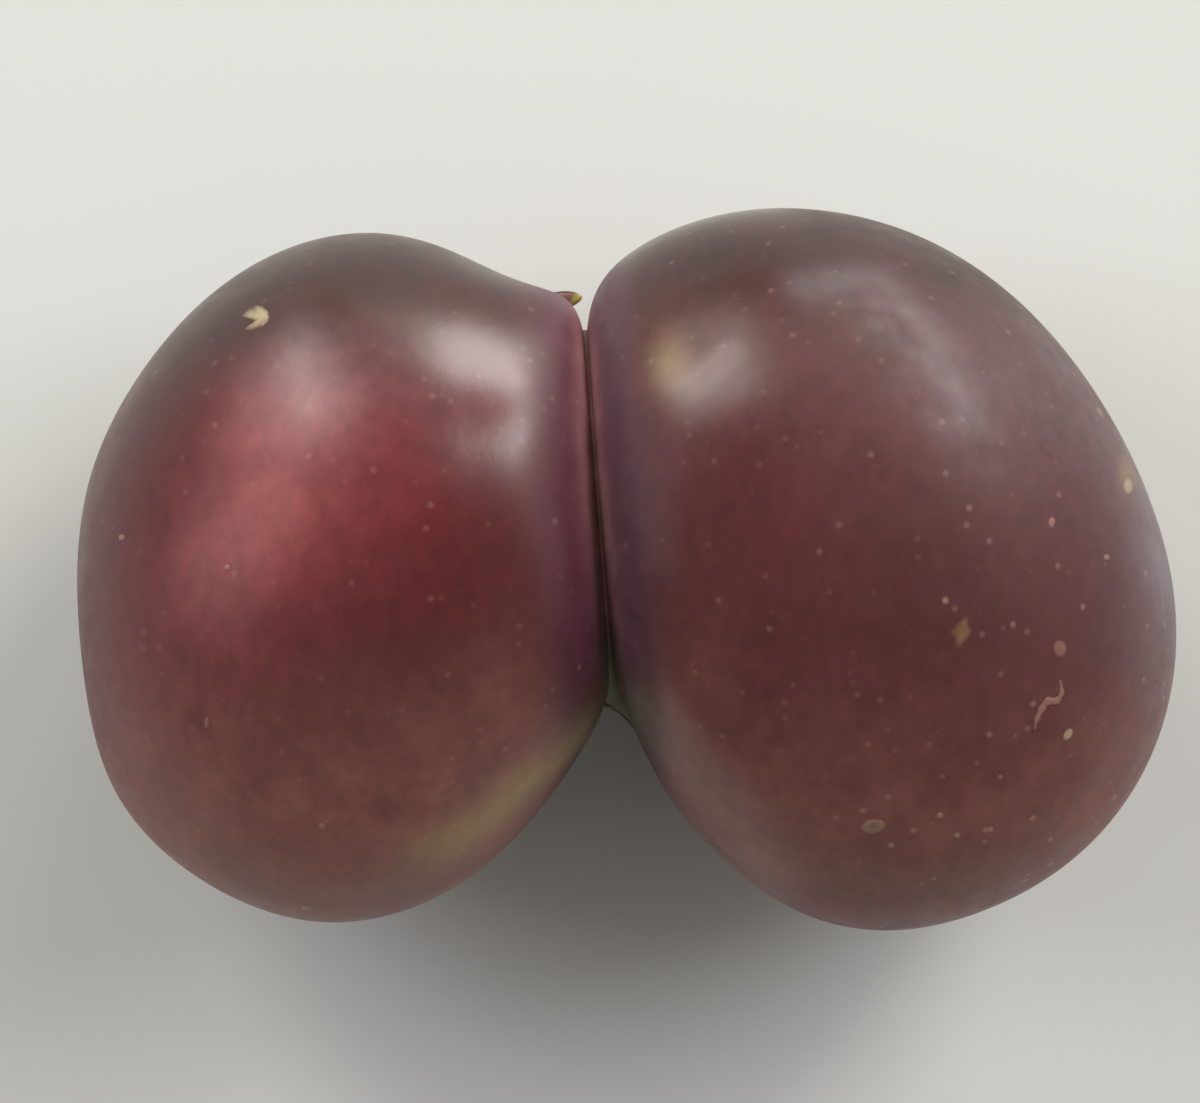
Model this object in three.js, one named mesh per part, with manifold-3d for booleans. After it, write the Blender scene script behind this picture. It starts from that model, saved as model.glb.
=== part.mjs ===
// A twin damson: two plum lobes that grew from one flower and are joined along a flat oval contact.
// Units are millimetres. The fruit lies on its side on the plane z = 0, with +Z up.
// +X runs from the small lobe to the large one, and +Y points to the stem end.

import * as THREE from 'three';
import { mergeVertices } from 'three/addons/utils/BufferGeometryUtils.js';
import Module from 'manifold-3d';

const wasm = await Module();
wasm.setup();

// How far each lobe is pressed flat where it rests, which leaves a small flat spot under it
const SETTLE = 0.2;

// The oval where the two lobes meet: its middle, the turn of its plane about Z, and its half sizes
const CONTACT = {
  middle: [-1.2, 2.0, 11.4],
  turnDegrees: 4.4,
  halfLength: 8.45,
  halfHeight: 7.2,
};

// The seam at the bottom of the groove. It widens into the stem hollow and into the web of skin at the
// blossom end, which runs slantwise and lies a little to the large lobe's side. Angles go round the oval
// from the stem end, over the top.
const SEAM = {
  width: 0.12,
  sag: 0.12,
  stemHollow: { at: -36, extra: 3.2, spread: 16 },
  web: { at: 182, extra: 1.8, spread: 18, slant: 0.9, shift: 0.3 },
};

// Each lobe is a leaned egg, flattened where it meets the other lobe. `side` is its side of the contact,
// `fullness` squares the egg up and `edge` sets how tight the turn into the contact is, at the contact's
// two ends and over its top. A swell raises (or, if negative, lowers) the skin round one direction, by a
// part of the distance from the lobe's middle. A `tall` under 1 stretches it upwards.
// The collar is the fuller skin over and under the contact.
const SMALL_LOBE = {
  side: -1,
  middle: [-11.97, -0.35, 11.58 - SETTLE],
  halfSize: [11.73, 14.92, 11.32],
  leanDegrees: -5.7,
  fullness: 1.96,
  edge: { ends: 16, top: 8 },
  collar: { from: 26, rise: 0.241, spread: 45.5 },
  swells: [
    { azimuth: 37.6, elevation: 0, rise: 0.335, spread: 11.3, tall: 0.5 },
    { azimuth: 157, elevation: 0, rise: 0.017, spread: 13.5, tall: 1 },
    { azimuth: 223, elevation: 0, rise: 0.048, spread: 14, tall: 1 },
    { azimuth: 32, elevation: 29, rise: -0.039, spread: 10, tall: 1 },
    { azimuth: -5, elevation: 63.5, rise: -0.02, spread: 13, tall: 1 },
    { azimuth: -5, elevation: -63.5, rise: -0.022, spread: 16, tall: 1 },
  ],
};

const LARGE_LOBE = {
  side: 1,
  middle: [11.94, 0.32, 12.0 - SETTLE],
  halfSize: [12.66, 15.01, 12.2],
  leanDegrees: 13.9,
  fullness: 2.07,
  edge: { ends: 20, top: 20 },
  collar: { from: 40, rise: 0.072, spread: 17.6 },
  swells: [
    { azimuth: 147.5, elevation: 0, rise: 0.312, spread: 34, tall: 1 },
    { azimuth: 44.5, elevation: 0, rise: -0.173, spread: 47.8, tall: 1 },
    { azimuth: 255, elevation: 0, rise: 0.095, spread: 23.6, tall: 1 },
    { azimuth: 222, elevation: 0, rise: 0.035, spread: 9, tall: 1 },
  ],
};

// The torn lip of dried skin that stands out of the stem hollow's rim. `swell` and `taper` give its
// profile: how fast it widens from its root, and how it narrows to its tip.
const LIP = {
  root: [-4.0, 11.66, 10.7],
  tip: [-1.92, 11.75, 11.2],
  halfWidth: 0.45,
  flatness: 0.75,
  swell: 1.9,
  taper: 0.8,
  sides: 10,
  rows: 8,
};

// The round scar that the stalk left: a shallow dish in the middle of the stem hollow
const STEM_SCAR = { radius: 1.3, depth: 0.4, rim: 0.45 };

// How finely the surface is cut up
const COLUMNS = 64;
const LOBE_ROWS = 27;
const SEAM_ROWS = 4;
const ROW_CROWDING = 1.5;
const CLOSING_START = 0.8;

const SKIN = { color: 0x5b2f30, roughness: 0.42, metalness: 0 };

const radians = THREE.MathUtils.degToRad;

const turn = radians(CONTACT.turnDegrees);
const ACROSS = new THREE.Vector3(Math.cos(turn), Math.sin(turn), 0);
const ALONG = new THREE.Vector3(-Math.sin(turn), Math.cos(turn), 0);
const UP = new THREE.Vector3(0, 0, 1);

// A smooth hump round a circle: 1 at its middle, falling off with the angle from it
function hump(angleDegrees, { at, spread }) {
  return Math.exp((Math.cos(radians(angleDegrees - at)) - 1) / radians(spread) ** 2);
}

// The seam's own width at one angle round the contact
function seamWidth(angleDegrees) {
  const { width, stemHollow, web } = SEAM;
  return width + stemHollow.extra * hump(angleDegrees, stemHollow) + web.extra * hump(angleDegrees, web);
}

// A point of the seam: side -1 is the small lobe's edge, +1 is the large lobe's, 0 is its middle
function seamPoint(angleDegrees, side) {
  const angle = radians(angleDegrees);
  const { slant, shift } = SEAM.web;
  const atWeb = hump(angleDegrees, SEAM.web);
  return new THREE.Vector3(...CONTACT.middle)
    .addScaledVector(ALONG, CONTACT.halfLength * Math.cos(angle) - side * slant * atWeb)
    .addScaledVector(UP, CONTACT.halfHeight * Math.sin(angle))
    .addScaledVector(ACROSS, (side * seamWidth(angleDegrees)) / 2 + shift * atWeb);
}

// How much one swell changes the reach in a direction
function swellAt(swell, direction) {
  const azimuth = radians(swell.azimuth);
  const elevation = radians(swell.elevation);
  const peak = new THREE.Vector3(
    Math.cos(elevation) * Math.cos(azimuth),
    Math.cos(elevation) * Math.sin(azimuth),
    Math.sin(elevation) * swell.tall,
  ).normalize();
  const flat = new THREE.Vector3(direction.x, direction.y, direction.z * swell.tall).normalize();
  return swell.rise * Math.exp((flat.dot(peak) - 1) / radians(swell.spread) ** 2);
}

// Seen along the contact's axis: 1 for a direction straight up or down, 0 towards the contact's two ends
function uprightShare(direction) {
  const up = direction.z ** 2;
  const across = direction.dot(ALONG) ** 2;
  return up / Math.max(up + across, Number.EPSILON);
}

// How much the collar changes it: full above and below the contact, nothing towards its two ends
function collarAt({ from, rise, spread }, direction, inward) {
  const offAxis = THREE.MathUtils.radToDeg(Math.acos(THREE.MathUtils.clamp(direction.dot(inward), -1, 1)));
  return rise * uprightShare(direction) * Math.exp(-(((offAxis - from) / spread) ** 2));
}

// How far the skin is from the lobe's middle in one direction: a leaned egg with its swells and
// its collar, cut softly by the plane of the contact
function lobeReach(lobe, direction) {
  const lean = radians(lobe.leanDegrees);
  const inward = ACROSS.clone().multiplyScalar(-lobe.side);
  const parts = [
    direction.x * Math.cos(lean) + direction.y * Math.sin(lean),
    direction.y * Math.cos(lean) - direction.x * Math.sin(lean),
    direction.z,
  ];
  const powers = parts.map((part, i) => Math.abs(part / lobe.halfSize[i]) ** lobe.fullness);
  let reach = powers.reduce((total, power) => total + power) ** (-1 / lobe.fullness);
  for (const swell of lobe.swells) {
    reach *= 1 + swellAt(swell, direction);
  }
  reach *= 1 + collarAt(lobe.collar, direction, inward);
  const toPlane = new THREE.Vector3(...CONTACT.middle).sub(new THREE.Vector3(...lobe.middle)).dot(inward);
  const facing = Math.max(direction.dot(inward), 0);
  const edge = THREE.MathUtils.lerp(lobe.edge.ends, lobe.edge.top, uprightShare(direction));
  return (reach ** -edge + (facing / toPlane) ** edge) ** (-1 / edge);
}

// A point of the lobe's skin: `along` runs from its outer end (0) to the seam (1). The flat spot that
// the lobe rests on is where it would reach below z = 0.
function lobePoint(lobe, angleDegrees, along) {
  const middle = new THREE.Vector3(...lobe.middle);
  const outward = ACROSS.clone().multiplyScalar(lobe.side);
  const toSeam = seamPoint(angleDegrees, lobe.side).sub(middle);
  const seamDirection = toSeam.clone().normalize();
  const sweep = outward.angleTo(seamDirection);
  const direction = outward
    .multiplyScalar(Math.sin((1 - along) * sweep))
    .addScaledVector(seamDirection, Math.sin(along * sweep))
    .normalize();
  const closing = toSeam.length() / lobeReach(lobe, seamDirection) - 1;
  const eased = closing * THREE.MathUtils.smoothstep(along, CLOSING_START, 1);
  const point = middle.addScaledVector(direction, lobeReach(lobe, direction) * (1 + eased));
  point.z = Math.max(point.z, 0);
  return point;
}

// A point of the seam's floor. It sags a little towards the middle of the contact, and more in the scar.
function floorPoint(angleDegrees, across) {
  const point = seamPoint(angleDegrees, 2 * across - 1);
  const outward = seamPoint(angleDegrees, 0).sub(new THREE.Vector3(...CONTACT.middle)).normalize();
  const sag = 4 * SEAM.sag * seamWidth(angleDegrees) * across * (1 - across);
  const fromScar = point.distanceTo(seamPoint(SEAM.stemHollow.at, 0));
  const { radius, depth, rim } = STEM_SCAR;
  const dish = depth * (1 - THREE.MathUtils.smoothstep(fromScar, radius - rim, radius));
  return point.addScaledVector(outward, -sag - dish);
}

// The rings of points from the small lobe's outer end, over the seam, to the large lobe's outer end
function skinRings() {
  const rings = [];
  const angles = Array.from({ length: COLUMNS }, (_, i) => (360 * i) / COLUMNS);
  const alongs = Array.from({ length: LOBE_ROWS }, (_, i) => 1 - (1 - (i + 1) / LOBE_ROWS) ** ROW_CROWDING);
  for (const along of alongs) {
    rings.push(angles.map((angle) => lobePoint(SMALL_LOBE, angle, along)));
  }
  for (let row = 1; row < SEAM_ROWS; row += 1) {
    rings.push(angles.map((angle) => floorPoint(angle, row / SEAM_ROWS)));
  }
  for (const along of alongs.toReversed()) {
    rings.push(angles.map((angle) => lobePoint(LARGE_LOBE, angle, along)));
  }
  return rings;
}

// One closed skin: the rings joined by pairs of triangles, and a fan at each outer end
function skinGeometry() {
  const rings = skinRings();
  const points = [lobePoint(SMALL_LOBE, 0, 0), ...rings.flat(), lobePoint(LARGE_LOBE, 0, 0)];
  const last = points.length - 1;
  const at = (ring, column) => 1 + ring * COLUMNS + (column % COLUMNS);
  const faces = [];
  for (let column = 0; column < COLUMNS; column += 1) {
    faces.push(0, at(0, column + 1), at(0, column));
    for (let ring = 0; ring + 1 < rings.length; ring += 1) {
      faces.push(at(ring, column), at(ring + 1, column + 1), at(ring + 1, column));
      faces.push(at(ring, column), at(ring, column + 1), at(ring + 1, column + 1));
    }
    faces.push(last, at(rings.length - 1, column), at(rings.length - 1, column + 1));
  }
  const geometry = new THREE.BufferGeometry().setFromPoints(points);
  geometry.setIndex(faces);
  return geometry;
}

// A closed geometry as a solid that can be joined and cut
function solidFrom(geometry) {
  const bare = geometry.clone();
  bare.deleteAttribute('normal');
  bare.deleteAttribute('uv');
  const merged = mergeVertices(bare);
  const vertProperties = new Float32Array(merged.getAttribute('position').array);
  const triVerts = new Uint32Array(merged.getIndex().array);
  return new wasm.Manifold(new wasm.Mesh({ numProp: 3, vertProperties, triVerts }));
}

function geometryFrom(solid) {
  const { vertProperties, triVerts } = solid.getMesh();
  const geometry = new THREE.BufferGeometry();
  geometry.setAttribute('position', new THREE.BufferAttribute(new Float32Array(vertProperties), 3));
  geometry.setIndex(new THREE.BufferAttribute(new Uint32Array(triVerts), 1));
  return geometry;
}

// The lip: a flattened drop with a point, its root inside the small lobe's rim
function lipGeometry() {
  const root = new THREE.Vector3(...LIP.root);
  const axis = new THREE.Vector3(...LIP.tip).sub(root);
  const profile = Array.from({ length: LIP.rows + 1 }, (_, i) => {
    const along = i / LIP.rows;
    const width = LIP.swell * Math.sqrt(along) * (1 - along) ** LIP.taper;
    return new THREE.Vector2(i === 0 || i === LIP.rows ? 0 : LIP.halfWidth * width, along * axis.length());
  });
  const drop = new THREE.LatheGeometry(profile, LIP.sides);
  const latheAxis = new THREE.Vector3(0, 1, 0);
  drop.applyQuaternion(new THREE.Quaternion().setFromUnitVectors(latheAxis, axis.clone().normalize()));
  drop.scale(1, 1, LIP.flatness);
  return drop.translate(root.x, root.y, root.z);
}

// The whole fruit: the skin, joined with its lip, and centred over the origin
function damson() {
  const fruit = solidFrom(skinGeometry()).add(solidFrom(lipGeometry()));
  const mesh = new THREE.Mesh(geometryFrom(fruit), new THREE.MeshStandardMaterial(SKIN));
  mesh.name = 'damson';
  const middle = new THREE.Box3().setFromObject(mesh).getCenter(new THREE.Vector3());
  mesh.position.set(-middle.x, -middle.y, 0);
  return mesh;
}

const group = new THREE.Group();
group.add(damson());

export default group;
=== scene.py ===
# %% [markdown]
# A twin damson, lying on its side
#
# Two plum lobes grew from one flower and stayed joined along a flat oval contact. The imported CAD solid
# gives the fruit's size and place. This script makes the fine skin over it: the same formulas on a much
# finer grid, then the scars, the dry lip and the colours of a ripening fruit.

# %% The frame
import math

import bpy
import numpy as np
from mathutils import Matrix


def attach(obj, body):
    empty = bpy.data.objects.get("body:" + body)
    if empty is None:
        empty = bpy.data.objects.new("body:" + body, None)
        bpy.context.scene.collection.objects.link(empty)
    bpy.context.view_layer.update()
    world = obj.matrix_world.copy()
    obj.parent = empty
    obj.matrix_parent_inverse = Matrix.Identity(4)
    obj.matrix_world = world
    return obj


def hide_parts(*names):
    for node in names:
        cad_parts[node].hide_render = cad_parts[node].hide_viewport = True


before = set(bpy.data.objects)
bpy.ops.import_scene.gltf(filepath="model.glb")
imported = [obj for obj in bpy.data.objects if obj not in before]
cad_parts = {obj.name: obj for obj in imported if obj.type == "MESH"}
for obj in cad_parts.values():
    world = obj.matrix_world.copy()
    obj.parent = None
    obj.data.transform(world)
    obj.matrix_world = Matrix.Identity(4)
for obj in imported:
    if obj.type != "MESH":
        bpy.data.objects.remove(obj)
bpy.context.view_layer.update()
MM = 0.001  # the formulas below are in millimetres, and Blender is in metres
print("nodes:", list(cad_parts))

# %% [markdown]
# Small helpers for arrays
#
# Every surface here is worked out as whole arrays: a point is the last axis of an array, so one line of
# numpy moves every point of a grid at once.


# %% Array helpers
def unit(vectors):
    """The vectors scaled to length 1."""
    return vectors / np.linalg.norm(vectors, axis=-1, keepdims=True)


def smoothstep(values, low, high):
    """0 at low, 1 at high and a smooth S between them: t squared times 3 less 2 t, where t is the share of
    the way. Past either end it stays at 0 or 1. low may also be the larger number of the two."""
    t = np.clip((values - low) / (high - low), 0, 1)
    return t * t * (3 - 2 * t)


def hump(degrees, at, spread):
    """A smooth hump round a circle: 1 at its middle. Its formula is e to the power of the cosine of the
    angle from the middle, less 1, over the spread squared."""
    return np.exp((np.cos(np.radians(degrees - at)) - 1) / np.radians(spread) ** 2)


def aim(azimuth, elevation):
    """The unit vector at an azimuth and an elevation in degrees."""
    a, e = math.radians(azimuth), math.radians(elevation)
    return np.array([math.cos(e) * math.cos(a), math.cos(e) * math.sin(a), math.sin(e)])


print("a hump's height one spread from its middle:", hump(10.0, 0, 10).round(3))

# %% [markdown]
# The seam
#
# Where the lobes press on each other their skins meet in a groove. Its floor follows an upright oval. Round
# that oval the floor is a hair wide, except at two places: the hollow that held the stalk, and the web of
# green skin that bridges the lobes at the blossom end.

# %% The seam's oval
SETTLE = 0.2  # how far the fruit's weight presses it flat where it lies
TURN = math.radians(4.4)
ACROSS = np.array([math.cos(TURN), math.sin(TURN), 0.0])  # from the small lobe to the large one
ALONG = np.array([-math.sin(TURN), math.cos(TURN), 0.0])  # from the blossom end to the stem end
UP = np.array([0.0, 0.0, 1.0])
CONTACT = {"middle": np.array([-1.2, 2.0, 11.4]), "half_length": 8.45, "half_height": 7.2}
SEAM = {"width": 0.12, "sag": 0.12}
STEM_HOLLOW = {"at": -36, "spread": 16, "extra": 3.2}
WEB = {"at": 182, "spread": 18, "extra": 1.8, "slant": 0.9, "shift": 0.3}
STEM_SCAR = {"radius": 1.3, "depth": 0.4, "rim": 0.45}


def seam_width(degrees):
    """A hair, plus one hump for the stem hollow and one for the web."""
    hollow = STEM_HOLLOW["extra"] * hump(degrees, STEM_HOLLOW["at"], STEM_HOLLOW["spread"])
    web = WEB["extra"] * hump(degrees, WEB["at"], WEB["spread"])
    return SEAM["width"] + hollow + web


def seam_points(degrees, side):
    """The oval: its half length times the cosine along it, and its half height times the sine upwards. It
    is moved half the seam's width to one side (-1 small lobe, +1 large lobe, 0 its middle)."""
    t = np.radians(degrees)[..., None]
    points = CONTACT["middle"] + CONTACT["half_length"] * np.cos(t) * ALONG
    points = points + CONTACT["half_height"] * np.sin(t) * UP
    at_web = hump(degrees, WEB["at"], WEB["spread"])
    across = side * seam_width(degrees) / 2 + WEB["shift"] * at_web
    return points + across[..., None] * ACROSS - (side * WEB["slant"] * at_web)[..., None] * ALONG


def from_stalk(points):
    """Distance from the middle of the scar that the stalk left in its hollow."""
    return np.linalg.norm(points - seam_points(np.array(float(STEM_HOLLOW["at"])), 0), axis=-1)


def floor_points(degrees, across):
    """Straight from one edge of the seam to the other, with a little sag, and a dish at the stalk's scar.
    The sag is that of a parabola: 4 times the share of the way across, times the share that is left."""
    width = seam_width(degrees)
    left, right = seam_points(degrees, -1), seam_points(degrees, 1)
    points = left + (right - left) * across[..., None]
    outward = unit(seam_points(degrees, 0) - CONTACT["middle"])
    sag = 4 * SEAM["sag"] * width * across * (1 - across)
    dish_wall = smoothstep(from_stalk(points), STEM_SCAR["radius"] - STEM_SCAR["rim"], STEM_SCAR["radius"])
    dish = STEM_SCAR["depth"] * (1 - dish_wall)
    return points - (sag + dish)[..., None] * outward


widths = seam_width(np.arange(360.0))
print("seam width in mm, narrowest and widest:", widths.min().round(2), widths.max().round(2))

# %% [markdown]
# The lobes
#
# Each lobe is described by its reach: how far the skin is from the lobe's middle in every direction. The
# reach is that of a leaned egg. Named swells raise or lower it round one direction, and a collar fills the
# skin out over the contact, as flesh does when it is squeezed against a neighbour. Sizes are in mm and
# angles in degrees. A rise is a share of the reach, and a higher edge cuts the lobe off more sharply.

# %% The lobes
SMALL_LOBE = {
    "side": -1,
    "middle": np.array([-11.97, -0.35, 11.58 - SETTLE]),
    "half_size": (11.73, 14.92, 11.32),
    "lean": -5.7,
    "fullness": 1.96,
    "edge": {"ends": 16, "top": 8},
    "collar": {"from": 26, "rise": 0.241, "spread": 45.5},
    "swells": [  # azimuth, elevation, rise, spread, tall
        (37.6, 0, 0.335, 11.3, 0.5),
        (157, 0, 0.017, 13.5, 1),
        (223, 0, 0.048, 14, 1),
        (32, 29, -0.039, 10, 1),
        (-5, 63.5, -0.02, 13, 1),
        (-5, -63.5, -0.022, 16, 1),
    ],
}
LARGE_LOBE = {
    "side": 1,
    "middle": np.array([11.94, 0.32, 12.0 - SETTLE]),
    "half_size": (12.66, 15.01, 12.2),
    "lean": 13.9,
    "fullness": 2.07,
    "edge": {"ends": 20, "top": 20},
    "collar": {"from": 40, "rise": 0.072, "spread": 17.6},
    "swells": [  # azimuth, elevation, rise, spread, tall
        (147.5, 0, 0.312, 34, 1),
        (44.5, 0, -0.173, 47.8, 1),
        (255, 0, 0.095, 23.6, 1),
        (222, 0, 0.035, 9, 1),
    ],
}
print("half sizes of the two eggs in mm:", SMALL_LOBE["half_size"], LARGE_LOBE["half_size"])

# %% [markdown]
# Soft unevenness
#
# A grown fruit is never quite even. Each lobe gets a set of very low round rises and dips, well under half
# a millimetre, that bend the reflections. A few more sit on the shoulders, where the photo's highlights
# bend most. They are too low to matter for the CAD solid, so they are made only here.

# %% Soft unevenness
RIPPLES = {"count": 18, "spread": 13, "rise": 0.007}
SMALL_LOBE["swells"] += [  # azimuth, elevation, rise, spread, tall
    (62, 21, 0.024, 8, 1),
    (18, 40, -0.012, 8, 1),
    (37, 28, -0.016, 8, 1),
    (99, 29, 0.016, 8.5, 1),
]
LARGE_LOBE["swells"].append((132, 28, -0.014, 9, 1))


def ripple_set(seed):
    """Directions all round a lobe, each with a small rise or fall of its own."""
    chance = np.random.default_rng(seed)
    return unit(chance.normal(size=(RIPPLES["count"], 3))), chance.uniform(-1, 1, RIPPLES["count"])


SMALL_LOBE["ripples"] = ripple_set(3)
LARGE_LOBE["ripples"] = ripple_set(8)


def ripple_at(lobe, directions):
    """The sum of the lobe's small rises, each a round hump in direction."""
    aims, rises = lobe["ripples"]
    humps = np.exp((directions @ aims.T - 1) / math.radians(RIPPLES["spread"]) ** 2)
    return RIPPLES["rise"] * (humps * rises).sum(-1)


print("ripple over each lobe's middle, as a share of its reach:",
      [float(ripple_at(lobe, UP).round(4)) for lobe in (SMALL_LOBE, LARGE_LOBE)])

# %% [markdown]
# The reach
#
# The egg, the swells and the collar are put together here. Working in directions from the lobe's middle
# keeps each lobe one closed, smooth surface, however its swells are set.

# %% The reach
NOT_ZERO = 1e-9  # keeps a division safe where both of its sides would be 0


def swell_at(swell, directions):
    """A hump round one direction: the hump's formula, with the cosine of the angle between two directions.
    A tall under 1 flattens the directions first, so that the swell reaches higher."""
    azimuth, elevation, rise, spread, tall = swell
    squeeze = np.array([1.0, 1.0, tall])
    closeness = unit(directions * squeeze) @ unit(aim(azimuth, elevation) * squeeze)
    return rise * np.exp((closeness - 1) / math.radians(spread) ** 2)


def upright_share(directions):
    """Seen along the contact's axis: 1 straight up and down, 0 towards the contact's two ends."""
    upright = directions[..., 2] ** 2
    return upright / (upright + (directions @ ALONG) ** 2 + NOT_ZERO)


def collar_at(collar, directions, inward):
    """A bell round a ring at one angle from the contact's axis, full above and below it and nothing at its
    two ends."""
    off_axis = np.degrees(np.arccos(np.clip(directions @ inward, -1, 1)))
    ring = np.exp(-(((off_axis - collar["from"]) / collar["spread"]) ** 2))
    return collar["rise"] * upright_share(directions) * ring


def lobe_reach(lobe, directions):
    """The leaned egg, times its swells and collar, cut softly by the plane of the contact. The egg's reach
    is the sum of (part of the direction over half size) to the power of fullness, to the power -1/fullness.
    The cut joins that reach and the plane's distance in the same way, with the edge as the power."""
    lean = math.radians(lobe["lean"])
    inward = -lobe["side"] * ACROSS
    x, y, z = directions[..., 0], directions[..., 1], directions[..., 2]
    parts = (x * math.cos(lean) + y * math.sin(lean), y * math.cos(lean) - x * math.sin(lean), z)
    total = sum(np.abs(part / half) ** lobe["fullness"] for part, half in zip(parts, lobe["half_size"]))
    reach = total ** (-1 / lobe["fullness"])
    for swell in lobe["swells"]:
        reach = reach * (1 + swell_at(swell, directions))
    reach = reach * (1 + collar_at(lobe["collar"], directions, inward) + ripple_at(lobe, directions))
    to_plane = (CONTACT["middle"] - lobe["middle"]) @ inward
    facing = np.maximum(directions @ inward, 0)
    edge = np.interp(upright_share(directions), [0, 1], [lobe["edge"]["ends"], lobe["edge"]["top"]])
    return (reach ** -edge + (facing / to_plane) ** edge) ** (-1 / edge)


ends = [float(lobe_reach(lobe, lobe["side"] * ACROSS).round(2)) for lobe in (SMALL_LOBE, LARGE_LOBE)]
print("reach away from the contact in mm:", ends)

# %% [markdown]
# The fine grid
#
# The skin is one closed set of rings round the axis through both lobes: over the small lobe, across the
# seam's floor, and over the large lobe. Rows crowd towards the seam, where the skin turns in sharply.

# %% Points of a lobe
CLOSING_START = 0.8  # the share of the way to the seam from which the skin is eased to its edge


def lobe_points(lobe, degrees, along):
    """From the lobe's outer end (along 0) to the seam (along 1), each point in the direction that lies
    that share of the way round. The last stretch is eased to meet the seam exactly."""
    outward = lobe["side"] * ACROSS
    to_seam = seam_points(degrees, lobe["side"]) - lobe["middle"]
    seam_direction = unit(to_seam)
    sweep = np.arccos(np.clip(seam_direction @ outward, -1, 1))
    left, done = np.sin((1 - along) * sweep), np.sin(along * sweep)
    directions = unit(left[..., None] * outward + done[..., None] * seam_direction)
    closing = np.linalg.norm(to_seam, axis=-1) / lobe_reach(lobe, seam_direction) - 1
    reach = lobe_reach(lobe, directions) * (1 + closing * smoothstep(along, CLOSING_START, 1))
    points = lobe["middle"] + directions * reach[..., None]
    points[..., 2] = np.maximum(points[..., 2], 0)
    return points


outer_ends = [lobe_points(lobe, np.zeros(1), np.zeros(1)) for lobe in (SMALL_LOBE, LARGE_LOBE)]
print("outer ends in mm:", [end[0].round(2).tolist() for end in outer_ends])

# %% [markdown]
# Rings into one skin
#
# The rings run the same way round from one outer end to the other, so quads join each ring to the next, and
# a fan of triangles closes each end. The finished footprint is then centred, as the CAD solid's is.

# %% Rings of the skin
COLUMNS = 320
LOBE_ROWS = 140
SEAM_ROWS = 12
ROW_CROWDING = 1.5


def closed_rings(rings, first, last):
    """Rings of points closed by a point at each end: the points, the quads between the rings, and the
    fans of triangles at the ends."""
    rows, columns = rings.shape[:2]
    points = np.concatenate([rings.reshape(-1, 3), np.reshape(first, (1, 3)), np.reshape(last, (1, 3))])
    column = np.arange(columns)
    after = (column + 1) % columns
    row = np.arange(rows - 1)[:, None] * columns
    quads = np.stack([row + column, row + after, row + columns + after, row + columns + column], -1)
    top = (rows - 1) * columns
    fans = np.concatenate([
        np.stack([np.full(columns, rows * columns), after, column], -1),
        np.stack([np.full(columns, rows * columns + 1), top + column, top + after], -1),
    ])
    return points, quads.reshape(-1, 4), fans


def skin_rings():
    """Rings of points from the small lobe's outer end, over the seam, to the large lobe's outer end."""
    angles = np.arange(COLUMNS) * 360 / COLUMNS
    along = 1 - (1 - np.arange(1, LOBE_ROWS + 1) / LOBE_ROWS) ** ROW_CROWDING
    across = np.arange(1, SEAM_ROWS) / SEAM_ROWS
    along_grid, angle_grid = np.meshgrid(along, angles, indexing="ij")
    small = lobe_points(SMALL_LOBE, angle_grid, along_grid)
    large = lobe_points(LARGE_LOBE, angle_grid, along_grid)[::-1]
    across_grid, angle_grid = np.meshgrid(across, angles, indexing="ij")
    return np.concatenate([small, floor_points(angle_grid, across_grid), large])


points, quads, fans = closed_rings(skin_rings(), *outer_ends)
shift = -np.append((points.min(0) + points.max(0))[:2] / 2, 0)
print("skin points:", len(points), "footprint shift in mm:", shift.round(3))

# %% [markdown]
# Making the mesh
#
# The arrays go into Blender's mesh in bulk. The finished skin takes the place of the CAD solid's own faces.


# %% Mesh maker
def make_piece(name, points, *faces):
    """A smooth-shaded mesh object from points in millimetres and arrays of faces."""
    mesh = bpy.data.meshes.new(name)
    corners = np.concatenate([f.ravel() for f in faces]).astype(np.int32)
    sizes = np.concatenate([np.full(len(f), f.shape[1]) for f in faces])
    starts = np.concatenate([[0], np.cumsum(sizes)[:-1]]).astype(np.int32)
    mesh.vertices.add(len(points))
    mesh.vertices.foreach_set("co", (points * MM).astype(np.float32).ravel())
    mesh.loops.add(len(corners))
    mesh.loops.foreach_set("vertex_index", corners)
    mesh.polygons.add(len(sizes))
    mesh.polygons.foreach_set("loop_start", starts)
    mesh.update(calc_edges=True)
    mesh.validate()
    mesh.shade_smooth()
    piece = bpy.data.objects.new(name, mesh)
    bpy.context.scene.collection.objects.link(piece)
    return piece


skin = make_piece("damson_skin_fine", points + shift, quads, fans)
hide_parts("damson")
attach(skin, "root")
print("skin faces:", len(skin.data.polygons))

# %% [markdown]
# Where a mark sits
#
# The scars, dots and the crack are placed as seen from above, so each needs the height of the skin at a
# place. The skin has no formula for that, so the height is found by halving: a point straight above the
# lobe's middle plane is inside the skin while it is nearer to the middle than the reach in its direction.

# %% Height of the upper skin
HALVINGS = 40


def skin_above(lobe, flat):
    """The skin's points straight over flat places, found by halving the height again and again."""
    low = np.zeros(flat.shape[:-1])
    high = low + 2 * lobe["half_size"][2]
    offset = flat - lobe["middle"][:2]
    for _ in range(HALVINGS):
        half = (low + high) / 2
        rays = np.concatenate([offset, half[..., None]], -1)
        inside = np.linalg.norm(rays, axis=-1) < lobe_reach(lobe, unit(rays))
        low, high = np.where(inside, half, low), np.where(inside, high, half)
    return np.concatenate([flat, (lobe["middle"][2] + low)[..., None]], -1)


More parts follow.
